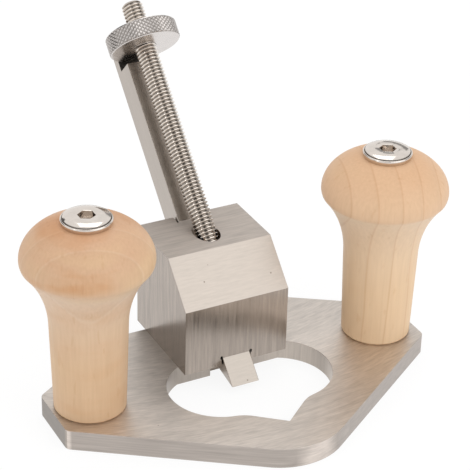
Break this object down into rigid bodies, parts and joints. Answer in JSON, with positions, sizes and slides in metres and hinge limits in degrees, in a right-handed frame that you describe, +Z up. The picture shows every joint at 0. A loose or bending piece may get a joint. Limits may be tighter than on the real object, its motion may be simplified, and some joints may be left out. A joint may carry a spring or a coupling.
{
  "type": "hand router plane",
  "caption": "Small hand router plane: diamond steel sole with an open mouth, block tool post, inclined blade raised by a knurled nut on a threaded rod, turned wooden knobs.",
  "frame": {"origin": "on the sole, below the centre of the tool post, in the plane's mid-plane", "axes": "+Z up out of the work, +X to the user's right as the picture shows it, -Y forward, the way the cutting edge points"},
  "size_m": [0.1184, 0.1139, 0.0844],
  "materials": {
    "ground_steel": "ground stainless steel with fine brush lines",
    "blade_steel": "ground tool steel",
    "nickel": "nickel-plated steel, satin",
    "bright_chrome": "polished",
    "screw_steel": "plain machine-screw steel",
    "pale_maple": "turned pale hardwood, clear oiled"
  },
  "bodies": {
    "body": {"base_plate": "ground_steel", "tool_post": "ground_steel", "left_post_screw": "screw_steel", "right_post_screw": "screw_steel", "left_knob": "pale_maple", "right_knob": "pale_maple", "left_knob_bolt": "bright_chrome", "right_knob_bolt": "bright_chrome", "adjuster_rod": "nickel"},
    "blade": {"blade": "blade_steel"},
    "nut": {"adjuster_nut": "nickel"},
    "lock screw": {"lock_screw": "screw_steel"}
  },
  "joints": [
    {"name": "blade_slide", "type": "slide", "parent": "body", "child": "blade", "axis": [0, 0.7071, 0.7071], "range_m": [-0.02, 0.007]},
    {"name": "nut_spin", "type": "hinge", "parent": "blade", "child": "nut", "pos_m": [0, 0.04368, 0.07535], "axis": [0, 0.7071, 0.7071], "range_deg": [-7201, 2521]},
    {"name": "lock_turn", "type": "hinge", "parent": "body", "child": "lock screw", "pos_m": [0, 0.00876, 0.0195], "axis": [0, 0.7071, -0.7071], "range_deg": [0, 720]}
  ],
  "couplings": [
    {"joint": "nut_spin", "follows": "blade_slide", "rad_per_m": 6283.2}
  ]
}
